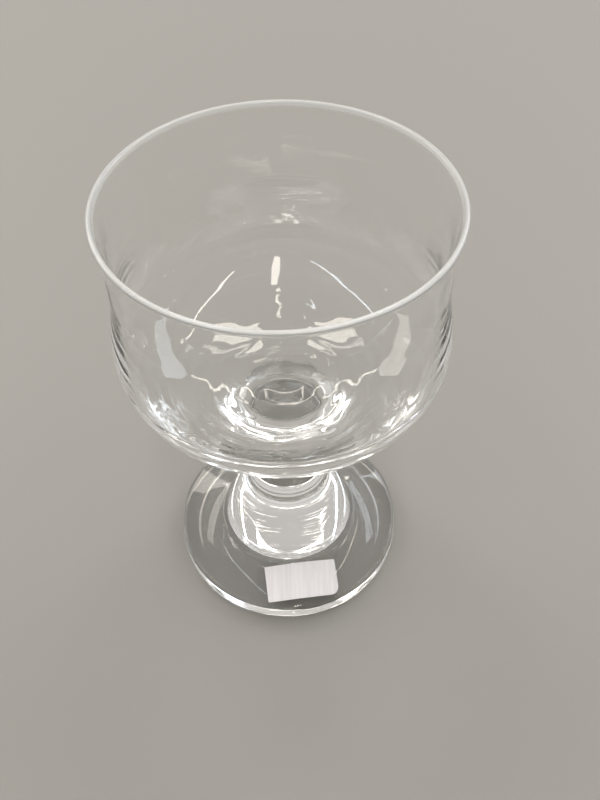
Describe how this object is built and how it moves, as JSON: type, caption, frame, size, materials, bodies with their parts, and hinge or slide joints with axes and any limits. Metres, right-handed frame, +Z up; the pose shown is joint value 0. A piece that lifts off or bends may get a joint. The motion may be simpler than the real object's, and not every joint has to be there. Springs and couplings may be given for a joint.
{
  "type": "short-stemmed goblet",
  "caption": "Clear glass goblet with a tulip bowl, a short flared stem and a thick round foot with a blank paper label.",
  "frame": {"origin": "centre of the bottom of the foot, on the surface that the glass stands on", "axes": "+Z up along the glass's axis, -Y towards the label on the foot, +X to the right seen from the label"},
  "size_m": [0.0846, 0.0846, 0.13],
  "materials": {
    "bowl_glass": "clear, fire-polished",
    "stem_glass": "clear, fire-polished",
    "foot_glass": "clear, fire-polished",
    "adhesive": "dull film",
    "paper": "uncoated white"
  },
  "bodies": {
    "root": {"bowl": "bowl_glass", "stem": "stem_glass", "foot": "foot_glass", "label_adhesive": "adhesive", "label_paper": "paper"}
  },
  "joints": []
}
